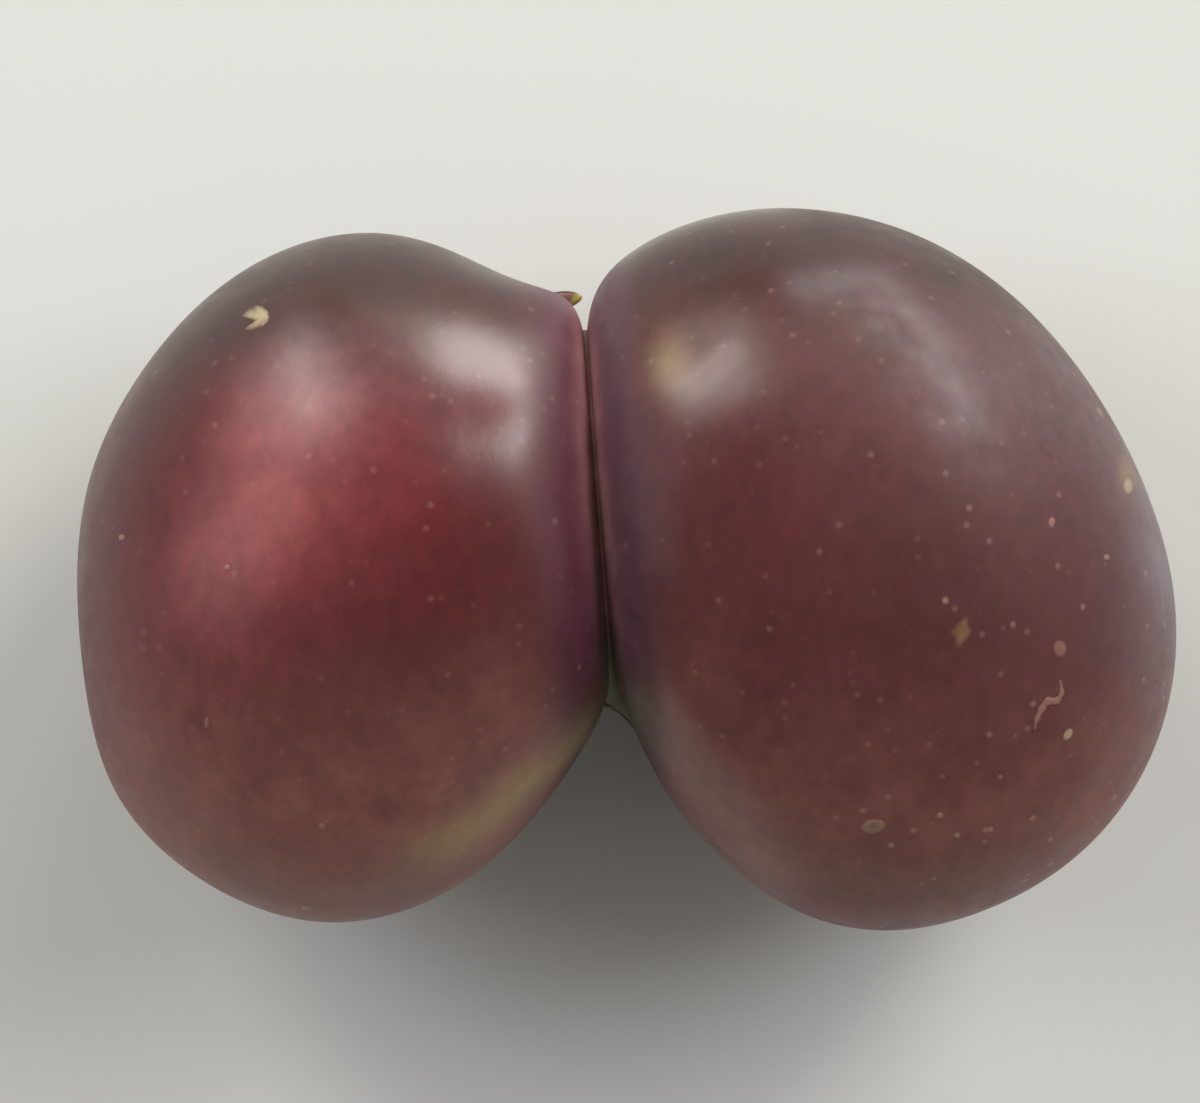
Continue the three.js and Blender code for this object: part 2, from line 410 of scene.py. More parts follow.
def skin_normals(lobe, flat, step=0.05):
    """The upright side of the skin, from its height a small step to the right and a small step ahead."""
    here = skin_above(lobe, flat)
    right = skin_above(lobe, flat + np.array([step, 0.0])) - here
    ahead = skin_above(lobe, flat + np.array([0.0, step])) - here
    return unit(np.cross(right, ahead))


tops = [skin_above(lobe, lobe["middle"][:2])[2].round(2) for lobe in (SMALL_LOBE, LARGE_LOBE)]
print("height of each lobe over its middle in mm:", tops)

# %% [markdown]
# Fields on the skin
#
# A ripening damson isn't one colour. Each cause of colour gets a field: a number from 0 to 1 at every
# point, worked out from the point's place and stored in the mesh as an attribute. The material mixes one
# named colour for each field. Some fields also carry painted light and shade: painted shade, painted
# highlights, a painted reflection, painted fill light and painted light in the groove. The same functions
# serve the scars' own small meshes, so these meet the skin's colour at their rims. Two more fields say how
# thick the dull film of wax is and how plain the pores are.

# %% Field shapes
LOBE_BLEND = 0.3


def spot(points, middle, reach):
    """A bell: e to the power of minus the squared distance from the middle, measured in reaches. reach is
    one number, or one for each of x, y and z."""
    return np.exp(-(((points - np.array(middle)) / np.array(reach)) ** 2).sum(-1))


def strip(points, path, reach):
    """A bell round a bent line through the path's points, by the distance from its nearest place."""
    path = np.array(path, float)
    nearest = np.full(points.shape[:-1], np.inf)
    for start, end in zip(path[:-1], path[1:]):
        run = end - start
        share = np.clip((points - start) @ run / (run @ run), 0, 1)
        nearest = np.minimum(nearest, np.linalg.norm(points - start - share[..., None] * run, axis=-1))
    return np.exp(-((nearest / reach) ** 2))


def across_contact(points):
    """Distance from the plane of the contact: below 0 on the small lobe, above 0 on the large one."""
    return (points - CONTACT["middle"]) @ ACROSS


def lobe_share(points, lobe):
    """1 on the lobe and 0 on the other, with a smooth change at the contact. Without a lobe, 1 on both."""
    if lobe is None:
        return 1.0
    return smoothstep(lobe["side"] * across_contact(points), -LOBE_BLEND, LOBE_BLEND)


print("skin points on the large lobe:", int((lobe_share(points, LARGE_LOBE) > 0.5).sum()))

# %% [markdown]
# Patches of colour
#
# The small lobe's shoulder is red where the sun reached it, with pink cheeks beside the reddest place and a
# wine red middle. The stem end is darker, and the blossom end is browner and less ripe. Bloom, the pale
# wax, is thickest on the large lobe's outer side, where nothing rubbed it off. Some patches are painted
# light: darker patches of painted shade on the large lobe, and pale patches of painted highlight and
# reflection. Each patch is a bell with a strength. A strength below 0 under "dull" marks a place where
# the film of wax is thinner.

# %% Patches
PATCHES = [
    # cause, lobe, strength, middle and reach in mm
    ("wine_red", SMALL_LOBE, 0.9, (-7.6, 0.8, 21), (3.8, 5, 8)),
    ("wine_red", SMALL_LOBE, 0.4, (-9.5, 10.5, 18), (2.5, 1.8, 4)),
    ("sunlit_red", SMALL_LOBE, 0.92, (-13.8, 3.6, 22), (5.9, 5.4, 9)),
    ("sunlit_red", SMALL_LOBE, 0.4, (-17.5, -4, 20), (4.5, 5.5, 7)),
    ("sunlit_red", LARGE_LOBE, 0.2, (6.5, -0.5, 23), (5, 6, 8)),
    ("pink_cheek", SMALL_LOBE, 0.5, (-20.5, -3.5, 15), (3.5, 4.5, 8)),
    ("pink_cheek", SMALL_LOBE, 0.25, (-5.6, 6.2, 18), (1.5, 2, 4)),
    ("stem_shade", SMALL_LOBE, 0.5, (-19.5, 8, 17), (3.2, 4, 6)),
    # painted shade: these three darker patches on the large lobe damp reflections of the walls, windows and
    # curtain
    ("stem_shade", LARGE_LOBE, 0.4, (18.5, 8.5, 16), (4.5, 4.5, 7)),
    ("stem_shade", LARGE_LOBE, 0.35, (12, 0.4, 22), (3, 4, 6)),
    ("stem_shade", LARGE_LOBE, 0.3, (10.6, 9.4, 20.5), (1.8, 1.8, 4)),
    ("brown_foot_and_painted_fill", None, 0.35, (-5.2, -4.8, 18), (2.2, 3.2, 6)),
    ("brown_foot_and_painted_fill", None, 0.35, (3, -4, 18), (2.4, 4, 6)),
    ("side_purple", SMALL_LOBE, 0.5, (-24, -4, 11), (3.5, 9, 10)),
    # pale bloom on the large lobe's outer side, laid on strongly at its right edge as a painted reflection
    # of the right wall
    ("bloom", LARGE_LOBE, 0.35, (17.5, 8.5, 18), (3.5, 4, 6)),
    ("bloom", LARGE_LOBE, 1.2, (24, 2, 14), (3.6, 6.5, 7)),
    # a painted highlight: pale colour that widens the left window's highlight on the small lobe
    ("bloom", SMALL_LOBE, 0.38, (-12.9, 7.9, 20.5), (2.6, 2.3, 4)),
    ("dull", SMALL_LOBE, -0.25, (-6.5, 8.5, 19), (3, 4, 6)),
    ("dull", SMALL_LOBE, 0.25, (-14.5, 7.5, 20), 3),
    ("dull", LARGE_LOBE, 0.45, (3.4, 8.6, 20), 3),
    ("russet", LARGE_LOBE, 0.42, (1.7, 8.5, 20), (0.9, 1.5, 4)),
    ("russet", LARGE_LOBE, 0.45, (21.1, 4.1, 17.5), (0.45, 0.7, 3)),
]
print("patches:", len(PATCHES))

# %% [markdown]
# Streaks and bands
#
# A pink streak runs over the red shoulder, and a green one lies beside the web, where the skin ripened
# last. The wax was wiped into streaks too: two are glossy. The third is a pale painted highlight along the
# curtain's arc on the large lobe. Bands run right across a lobe: darker skin at the stem end, brown at the
# blossom end with painted fill light on that lower side, bloom low down, and the film's own steps.

# %% Streaks and bands
STREAKS = [
    # cause, lobe, strength, path and reach in mm
    ("pink_cheek", SMALL_LOBE, 1.0, [(-14, 6.6, 21), (-14.6, 3, 22), (-16.6, 0.5, 21)], 2.6),
    ("unripe", SMALL_LOBE, 1.0, [(-8.2, -11, 17), (-4.8, -8.8, 17), (-2.3, -6.4, 16)], 1.4),
]
WIPED_STREAKS = [
    # the same, with the path as seen from above
    # a painted highlight: a pale line along the curtain's arc on the large lobe
    ("bloom", LARGE_LOBE, 0.38, [(7.3, 11.8), (10.4, 12.2), (12.3, 10.0), (13.9, 6.4)], 0.9),
    ("dull", LARGE_LOBE, -0.65, [(2.33, 7.41), (3.3, 8.1), (4.2, 9.0)], 0.6),
    ("dull", SMALL_LOBE, -0.2, [(-13.6, 8.9), (-13.1, 6.9)], 0.8),
]
for cause, lobe, strength, flat, reach in WIPED_STREAKS:
    STREAKS.append((cause, lobe, strength, skin_above(lobe, np.array(flat)), reach))
BANDS = [
    # cause, lobe, strength, axis, where it starts and where it is full in mm
    # darker skin towards each lobe's stem end
    ("stem_shade", SMALL_LOBE, 1.0, "y", 6.5, 13.5),
    ("stem_shade", LARGE_LOBE, 1.0, "y", 8.0, 14.5),
    # browner skin at the blossom end, made lighter as painted fill light on the lower side
    ("brown_foot_and_painted_fill", SMALL_LOBE, 1.0, "y", -2.0, -12.0),
    ("brown_foot_and_painted_fill", LARGE_LOBE, 0.68, "y", -2.0, -12.0),
    ("bloom", SMALL_LOBE, 0.2, "z", 13.0, 6.0),
    ("bloom", LARGE_LOBE, 0.35, "z", 13.0, 6.0),
    ("dull", LARGE_LOBE, 0.8, "x", 4.5, 8.5),
    ("dull", LARGE_LOBE, -0.25, "y", 11.5, 14.5),
    ("dull", SMALL_LOBE, -0.08, "x", -9.0, -6.0),
    ("dull", SMALL_LOBE, 0.25, "y", 2.0, -6.0),
]


def table_fields(points):
    """For each cause, the sum of its patches, streaks and bands, each times its strength and lobe share."""
    rows = [(row[:3], spot(points, *row[3:])) for row in PATCHES]
    rows += [(row[:3], strip(points, *row[3:])) for row in STREAKS]
    rows += [(row[:3], smoothstep(points[..., "xyz".index(row[3])], *row[4:])) for row in BANDS]
    fields = {}
    for (cause, lobe, strength), shape in rows:
        fields[cause] = fields.get(cause, 0.0) + strength * lobe_share(points, lobe) * shape
    return fields


print("causes in the tables:", list(table_fields(points[:1])))

# %% [markdown]
# Causes that follow the seam
#
# Where the lobes touch, their sides are purple, and the wax there was never rubbed. The groove between them
# is painted lighter: painted light that eases the deep shade in the groove. At the blossom end the web is
# green along its floor. In the stem hollow the stalk left a round scar of pale cork, a little darker in its
# middle, where the veins ran.

# %% Fields along the seam
OVAL_STEP = 3.0
SIDE_PURPLE = {"small": (-3.4, -1.4), "large": (2.6, 1.0), "height": (9, 14)}
CREASE_REACH = 1.2
WEB_FLOOR = seam_points(np.array([128.0, 142.0, 156.0, 170.0, 184.0, 200.0]), 0)
WEB_FLOOR_REACH = 1.1
WEB_SPOTS = [((0.1, -6.0, 16.0), (1.3, 1.4, 3.5)), ((-0.3, -6.6, 12.0), (1.6, 1.2, 6.0))]
STALK_CORK = {"tone": 0.8, "edge": (1.0, 1.4), "middle_tone": 0.4, "middle_edge": (0.15, 0.5)}


def purple_beside_contact(points):
    """1 beside the contact, fading out a few millimetres from it on either lobe, and low down."""
    across = across_contact(points)
    small = lobe_share(points, SMALL_LOBE) * smoothstep(across, *SIDE_PURPLE["small"])
    large = lobe_share(points, LARGE_LOBE) * smoothstep(across, *SIDE_PURPLE["large"])
    return (small + large) * smoothstep(points[..., 2], *SIDE_PURPLE["height"])


def web_green(points):
    """The largest of three bells: one along the web's floor and one on each lobe's side of it."""
    bells = [strip(points, WEB_FLOOR, WEB_FLOOR_REACH)] + [spot(points, *place) for place in WEB_SPOTS]
    return np.maximum.reduce(bells)


def seam_nearness(points, reach):
    """A bell round the seam's oval: 1 in the bottom of the groove."""
    nearest = np.full(points.shape[:-1], np.inf)
    for place in seam_points(np.arange(0, 360, OVAL_STEP), 0):
        nearest = np.minimum(nearest, np.linalg.norm(points - place, axis=-1))
    return np.exp(-((nearest / reach) ** 2))


def stalk_cork(points):
    """A round scar with a soft edge, at a lower tone in its middle."""
    distance = from_stalk(points)
    ring = smoothstep(distance, *STALK_CORK["middle_edge"])
    low = STALK_CORK["middle_tone"]
    return STALK_CORK["tone"] * (1 - smoothstep(distance, *STALK_CORK["edge"])) * (low + (1 - low) * ring)


print("skin points in the crease:", int((seam_nearness(points, CREASE_REACH) > 0.5).sum()))

# %% [markdown]
# All the fields together
#
# The bloom and the dull film are also thicker on the purple sides. The small lobe has a thin film all over.
# Pores show most on the large lobe's outer side. Two causes, pink cork and freshly torn skin, are nowhere
# on the skin itself: only the small pieces carry them.

# %% All fields
SIDE_BLOOM = 0.15
SIDE_FILM = {"small": 0.3, "large": 0.8}
SMALL_LOBE_FILM = 0.35
PORES = {"small": 0.3, "large": 0.35, "outer_side": 0.65, "x": (4, 13), "y": (5, -6)}


def skin_fields(points):
    """Every field at the points: the tables' sums, and on top of them what follows the seam."""
    small, large = lobe_share(points, SMALL_LOBE), lobe_share(points, LARGE_LOBE)
    fields = table_fields(points)
    fields["side_purple"] = fields["side_purple"] + purple_beside_contact(points)
    fields["bloom"] = fields["bloom"] + SIDE_BLOOM * large * fields["side_purple"]
    side_film = (SIDE_FILM["small"] * small + SIDE_FILM["large"] * large) * fields["side_purple"]
    fields["dull"] = fields["dull"] + SMALL_LOBE_FILM * small + side_film
    fields["green_web"] = web_green(points)
    # painted light in the groove: 1 in the bottom of the groove, except on the web
    fields["crease"] = seam_nearness(points, CREASE_REACH) * (1 - fields["green_web"])
    outer_side = smoothstep(points[..., 0], *PORES["x"]) * smoothstep(points[..., 1], *PORES["y"])
    fields["pores"] = PORES["small"] * small + large * (PORES["large"] + PORES["outer_side"] * outer_side)
    fields["scar"] = stalk_cork(points)
    for cause in ("pink_cork", "fresh_tear"):
        fields[cause] = np.zeros(points.shape[:-1])
    return fields


def paint(piece, points, **extra):
    """Stores every field on a piece as an attribute from 0 to 1, with some of them replaced."""
    for name, values in {**skin_fields(points), **extra}.items():
        attribute = piece.data.attributes.new(name, "FLOAT", "POINT")
        attribute.data.foreach_set("value", np.clip(values, 0, 1).astype(np.float32))


paint(skin, points)
print("fields stored:", [a.name for a in skin.data.attributes if a.data_type == "FLOAT"])

# %% [markdown]
# Helpers for materials
#
# Colours are written as sRGB hex codes, as a paint chart gives them, and turned into linear numbers once.
# One more helper adds a node of any kind with its settings and its links, so that a material reads as a
# list.


# %% Material helpers
def colour(hex_code):
    """An sRGB hex colour as linear red, green, blue and alpha: a channel over 12.92 where it is dark, and
    else the channel plus 0.055, over 1.055, to the power of 2.4."""
    channels = [int(hex_code[i:i + 2], 16) / 255 for i in (1, 3, 5)]
    return tuple(c / 12.92 if c <= 0.04045 else ((c + 0.055) / 1.055) ** 2.4 for c in channels) + (1.0,)


def add_node(tree, kind, links=(), **settings):
    """One node with its settings. Each link is (input, value or output socket), the input by identifier
    or by name."""
    node = tree.nodes.new(kind)
    for key, value in settings.items():
        setattr(node, key, value)
    for name, value in links:
        socket = next((s for s in node.inputs if s.identifier == name), None) or node.inputs[name]
        if isinstance(value, bpy.types.NodeSocket):
            tree.links.new(value, socket)
        else:
            socket.default_value = value
    return node


def mixed_colour(mix):
    """A Mix node's colour output, found by its identifier because its outputs share one name."""
    return next(s for s in mix.outputs if s.identifier == "Result_Color")


print("middle grey as linear numbers:", [round(c, 3) for c in colour("#808080")])

# %% [markdown]
# The skin's material
#
# The skin of a ripe plum is smooth and glossy under a thin dull film of wax, the bloom. So its shader is
# like that of plastic, and its colour is mixed from the fields, one after the other, over a dark base. A
# soft cloud pattern makes each cause a little stronger or weaker from place to place, as pigment is.

# %% Skin colours
BASE_SKIN = "#502829"
LAYERS = [
    ("wine_red", "#4c1415"),
    ("sunlit_red", "#74292c"),
    ("pink_cheek", "#9a5552"),
    # dark skin at the stem end and on the lip's dried edge, and painted shade where the patches say so
    ("stem_shade", "#38231f"),
    # brown blossom end, and painted fill light on the lower side
    ("brown_foot_and_painted_fill", "#89554a"),
    ("side_purple", "#4b212d"),
    ("unripe", "#9a8247"),
    ("fresh_tear", "#a9a052"),
    ("green_web", "#66674a"),
    # pale wax, and painted highlights and a painted reflection where its patches and streak say so
    ("bloom", "#848187"),
    # painted light: a lighter colour in the groove, where shade falls
    ("crease", "#a67476"),
    ("russet", "#8f7446"),
    ("pink_cork", "#bb8778"),
    ("scar", "#bfac85"),
]
LAYER_STRENGTH = {"bloom": 0.5, "pink_cheek": 0.6, "unripe": 0.75}
CLOUD_SIZE = 3.0

material = bpy.data.materials.new("ripening_damson_skin")
material.use_nodes = True
tree = material.node_tree
shader = tree.nodes["Principled BSDF"]
where = add_node(tree, "ShaderNodeTexCoord").outputs["Object"]
cloud = add_node(tree, "ShaderNodeTexNoise", [
    ("Vector", where), ("Scale", 1 / (CLOUD_SIZE * MM)), ("Detail", 3.0), ("Roughness", 0.55),
])
cloud_gain = add_node(tree, "ShaderNodeMapRange", [
    ("Value", cloud.outputs["Fac"]),
    ("From Min", 0.3), ("From Max", 0.7), ("To Min", 0.65), ("To Max", 1.3),
])
skin_colour = colour(BASE_SKIN)
for name, hex_code in LAYERS:
    field = add_node(tree, "ShaderNodeAttribute", attribute_name=name)
    clouded = add_node(tree, "ShaderNodeMath", [
        ("Value", field.outputs["Fac"]), ("Value_001", cloud_gain.outputs["Result"]),
    ], operation="MULTIPLY", use_clamp=True)
    strength = add_node(tree, "ShaderNodeMath", [
        ("Value", clouded.outputs["Value"]), ("Value_001", LAYER_STRENGTH.get(name, 1.0)),
    ], operation="MULTIPLY", use_clamp=True)
    layer = add_node(tree, "ShaderNodeMix", [
        ("Factor_Float", strength.outputs["Value"]),
        ("A_Color", skin_colour), ("B_Color", colour(hex_code)),
    ], data_type="RGBA")
    skin_colour = mixed_colour(layer)
print("colour layers:", len(LAYERS))

# %% [markdown]
# Pores and speckle
#
# The pores, or lenticels, are pale dots up to 0.4 mm wide. A cell pattern scatters them, and a chance for
# each cell leaves most of them faint. The speckle is pigment in fine streaks along the fruit, under the
# skin. It makes the colour a little lighter or darker.

# %% Pores and speckle
PORE_COLOUR = "#c49c8c"
PORE_SPACING = 1.0
PORE_RADIUS = 0.22
PORE_STRENGTH = 0.52
SPECKLE_SIZE = 0.7
SPECKLE_STRETCH = (1.0, 0.6, 1.0)

pores = add_node(tree, "ShaderNodeTexVoronoi", [("Vector", where), ("Scale", 1 / (PORE_SPACING * MM))])
pore_edge = add_node(tree, "ShaderNodeMapRange", [
    ("Value", pores.outputs["Distance"]),
    ("From Min", PORE_RADIUS / PORE_SPACING), ("From Max", 0.0), ("To Min", 0.0), ("To Max", PORE_STRENGTH),
], interpolation_type="SMOOTHSTEP")
present = add_node(tree, "ShaderNodeSeparateColor", [("Color", pores.outputs["Color"])])
pore_chance = add_node(tree, "ShaderNodeMath", [
    ("Value", present.outputs["Red"]), ("Value_001", pore_edge.outputs["Result"]),
], operation="MULTIPLY")
pore_field = add_node(tree, "ShaderNodeAttribute", attribute_name="pores")
pore_mask = add_node(tree, "ShaderNodeMath", [
    ("Value", pore_chance.outputs["Value"]), ("Value_001", pore_field.outputs["Fac"]),
], operation="MULTIPLY")
pored = add_node(tree, "ShaderNodeMix", [
    ("Factor_Float", pore_mask.outputs["Value"]),
    ("A_Color", skin_colour), ("B_Color", colour(PORE_COLOUR)),
], data_type="RGBA")
stretched = add_node(tree, "ShaderNodeMapping", [("Vector", where), ("Scale", SPECKLE_STRETCH)])
speckle = add_node(tree, "ShaderNodeTexNoise", [
    ("Vector", stretched.outputs["Vector"]), ("Scale", 1 / (SPECKLE_SIZE * MM)), ("Detail", 4.0),
    ("Roughness", 0.65),
])
speckle_gain = add_node(tree, "ShaderNodeMapRange", [
    ("Value", speckle.outputs["Fac"]),
    ("From Min", 0.3), ("From Max", 0.7), ("To Min", 0.86), ("To Max", 1.14),
])
speckled = add_node(tree, "ShaderNodeMix", [
    ("Factor_Float", 1.0), ("A_Color", mixed_colour(pored)), ("B_Color", speckle_gain.outputs["Result"]),
], data_type="RGBA", blend_type="MULTIPLY")
tree.links.new(mixed_colour(speckled), shader.inputs["Base Color"])
print("pore width in mm:", 2 * PORE_RADIUS, "at most")

# %% [markdown]
# Gloss
#
# The wax film is patchy: it was rubbed off in places and lies thick in others. So the roughness runs from
# polished skin to dull film, broken up by its own noise, and the crease is as dull as the thickest film. A
# weak sheen stands for the film's pale glow at the rim, and a little light goes into the skin, as it does
# in any fruit. These are the same all over, so they are set on the shader itself. The speckle also gives
# the surface its fine grain.

# %% Gloss
FILM_PATCH = 1.5
POLISHED = 0.22
DULL = 0.56
GRAIN_DEPTH = 0.02
EVEN_SETTINGS = {
    "IOR": 1.45, "Sheen Weight": 0.04, "Sheen Roughness": 0.45, "Sheen Tint": colour("#cfc9cc"),
    "Subsurface Weight": 0.06, "Subsurface Radius": (1.0, 0.35, 0.2), "Subsurface Scale": 1.2 * MM,
}

film_cloud = add_node(tree, "ShaderNodeTexNoise", [
    ("Vector", where), ("Scale", 1 / (FILM_PATCH * MM)), ("Detail", 4.0), ("Roughness", 0.6),
])
film_gain = add_node(tree, "ShaderNodeMapRange", [
    ("Value", film_cloud.outputs["Fac"]),
    ("From Min", 0.35), ("From Max", 0.65), ("To Min", 0.7), ("To Max", 1.3),
])
film = add_node(tree, "ShaderNodeAttribute", attribute_name="dull")
# the groove's painted light field also makes the groove as dull as the thickest film
crease = add_node(tree, "ShaderNodeAttribute", attribute_name="crease")
patchy = add_node(tree, "ShaderNodeMath", [
    ("Value", film.outputs["Fac"]), ("Value_001", film_gain.outputs["Result"]),
    ("Value_002", crease.outputs["Fac"]),
], operation="MULTIPLY_ADD", use_clamp=True)
gloss = add_node(tree, "ShaderNodeMapRange", [
    ("Value", patchy.outputs["Value"]), ("To Min", POLISHED), ("To Max", DULL),
])
tree.links.new(gloss.outputs["Result"], shader.inputs["Roughness"])
for name, value in EVEN_SETTINGS.items():
    shader.inputs[name].default_value = value
bump = add_node(tree, "ShaderNodeBump", [
    ("Height", speckle.outputs["Fac"]), ("Strength", 0.35), ("Distance", GRAIN_DEPTH * MM),
])
tree.links.new(bump.outputs["Normal"], shader.inputs["Normal"])
skin.data.materials.append(material)
print("nodes in the skin's material:", len(tree.nodes))

# %% [markdown]
# Small pieces on the skin
#
# Scabs, corky dots and the torn lip stand proud of the skin, so they catch the light. Each is a closed body
# of its own whose rim is sunk a hair into the skin. It carries the same fields and the same material, and a
# few fields of its own set it off: mostly cork, pale or pink. Where those are 0 it has the skin's own
# colour.

# %% Small pieces
SMALL_PIECES = []


def small_piece(name, points, quads, fans, **extra):
    """One small closed body of the fruit's skin, painted with the fields and with some of them replaced."""
    piece = make_piece(name, points + shift, quads, fans)
    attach(piece, "root")
    paint(piece, points, **extra)
    piece.data.materials.append(material)
    SMALL_PIECES.append(piece)
    print(f"{name}: {len(points)} points, largest side {np.ptp(points, axis=0).max():.2f} mm")


# %% [markdown]
# Scabs
#
# A scab is a thin plate of cork that grew over a wound. Its rim is any outline seen from above, and its
# lift is its height at each share of the way from its middle to that rim. The colour fades in with the
# height, so a thin rim still shows the skin through.

# %% Scabs
SINK = 0.02  # how deep a rim lies in the skin
FADE = 0.9  # the share of the full height at which the colour is full
PINK_GAIN = 1.25  # pink cork is nearer to the skin's colour than pale cork, so it is laid on more strongly
RIM_SHARPNESS = 6


def scab_rings(lobe, middle, rim, lift, rows, columns):
    """The upper side of a scab, from its middle to its rim, then the underside back to the middle. Towards
    the rim the height falls off with the sixth power of the share. The underside is 3 sinks deep in its
    middle and 1 at the rim."""
    shares, angles = np.arange(1, rows + 1) / rows, np.arange(columns) * 360 / columns
    share, angle = np.meshgrid(shares, angles, indexing="ij")
    turn = np.radians(angle)
    reach = share * rim(angle)
    flat = np.array(middle) + np.stack([reach * np.cos(turn), reach * np.sin(turn)], -1)
    skin_point, upright = skin_above(lobe, flat), skin_normals(lobe, flat)
    falloff = share ** RIM_SHARPNESS
    height = lift(share, angle)
    upper = skin_point + (height * (1 - falloff) - SINK * falloff)[..., None] * upright
    under = skin_point - (SINK * (3 - 2 * share))[..., None] * upright
    rings = np.concatenate([upper, under[-2::-1]])
    heights = np.concatenate([height * (1 - falloff), np.zeros_like(height[:-1])])
    return rings, heights, (upper[0].mean(0), under[0].mean(0)), heights[0].mean()


def scab(name, lobe, middle, rim, lift, rows, columns, tone, field="scar", pink=0.0):
    """A scab on a lobe. pink is its share of pink cork, a number or a function of its points."""
    rings, heights, ends, peak = scab_rings(lobe, middle, rim, lift, rows, columns)
    points, quads, fans = closed_rings(rings, *ends)
    height = np.append(heights.ravel(), [peak, 0])
    corky = smoothstep(height, 0.0, FADE * height.max())
    pinkness = pink(points) if callable(pink) else pink
    pink_cork = min(1.0, PINK_GAIN * tone) * pinkness * corky
    small_piece(name, points, quads, fans, pink_cork=pink_cork, **{field: tone * (1 - pinkness) * corky})


print("a scab's foot lies", SINK, "to", 3 * SINK, "mm deep")

# %% [markdown]
# Rims and lifts
#
# A rim is a function of the angle, and a lift is one of the share and the angle. The small functions below
# return such functions, so a scab is put together from one of each.


# %% Rims and lifts
def outline(corners):
    """A rim straight, in angle and radius, between corners given as (degrees, radius in mm)."""
    angles, radii = np.array(corners, float).T
    return lambda angle: np.interp(angle, angles, radii, period=360)


def ellipse(long, short, turn=0.0):
    """An ellipse's rim: long times short, over the root of (short times the cosine) squared plus (long
    times the sine) squared. long and short are its half lengths, and turn is its angle in degrees."""
    def rim(angle):
        t = np.radians(angle - turn)
        return long * short / np.sqrt((short * np.cos(t)) ** 2 + (long * np.sin(t)) ** 2)
    return rim


def dome(height, wave=0.0, waves=5):
    """A low dome, 1 less the share squared, with waves round its middle that grow towards the rim."""
    def lift(share, angle):
        return height * (1 - share ** 2) * (1 + wave * np.sin(np.radians(waves * angle)) * share)
    return lift


print("an ellipse 2 by 1, along and across:", ellipse(2, 1)(np.array([0.0, 90.0])).round(3))

# %% [markdown]
# The hooked scab
#
# A twig rubbed the small lobe while it grew, and the wound healed as pale cork with two arms. The lower arm
# is pinker. The rim is given corner by corner, because no simple curve has this outline.

# %% Hooked scab
HOOK_MIDDLE = (-15.26, 10.54)
HOOK_RIM = [
    (0, 0.28), (30, 0.33), (60, 0.42), (80, 0.5), (99, 0.66), (112, 0.7), (123, 0.84), (136, 0.86),
    (149, 1.02), (163, 1.08), (173, 1.18), (177, 0.8), (189, 0.53), (201, 0.56), (205, 0.9), (209, 1.14),
    (217, 0.94), (225, 0.8), (236, 0.6), (250, 0.48), (275, 0.34), (307, 0.28),
]
HOOK_DOME = {"height": 0.05, "wave": 0.25, "waves": 7}
HOOK_PINK = {"share": 0.55, "below_middle": (-0.05, 0.35)}


def hook_pink(points):
    """The lower arm is pink cork: none above the hook's middle, and its full share a little below it."""
    return HOOK_PINK["share"] * smoothstep(HOOK_MIDDLE[1] - points[:, 1], *HOOK_PINK["below_middle"])


scab(
    "hooked_scab", SMALL_LOBE, HOOK_MIDDLE, outline(HOOK_RIM), dome(**HOOK_DOME),
    rows=14, columns=144, tone=0.54, pink=hook_pink,
)

# %% [markdown]
# Where the blossom was
#
# Each lobe kept a small oval mark where its style dried off: a raised ring round a small hollow.

# %% Style scars
STYLE_SCARS = {
    "small_style_scar": (SMALL_LOBE, (-13.68, -14.35), ellipse(0.28, 0.15, 10)),
    "large_style_scar": (LARGE_LOBE, (10.11, -10.57), ellipse(0.6, 0.36, 10)),
}
STYLE_RING = {"height": 0.03, "at": 0.55, "width": 0.3, "middle": 0.75}


def style_ring(share, angle):
    """A bell round a ring at one share of the way out, plus a low cone over the middle."""
    ring = np.exp(-(((share - STYLE_RING["at"]) / STYLE_RING["width"]) ** 2))
    return STYLE_RING["height"] * ring + STYLE_RING["middle"] * STYLE_RING["height"] * (1 - share)


for name, (lobe, middle, rim) in STYLE_SCARS.items():
    scab(name, lobe, middle, rim, style_ring, rows=12, columns=60, tone=0.24)

# %% [markdown]
# Corky dots
#
# A plum's skin breathes through pores. Some grow into small raised dots of cork, paler than the skin. They
# are low domes on small ellipses, each with its own tone and its own share of pink.

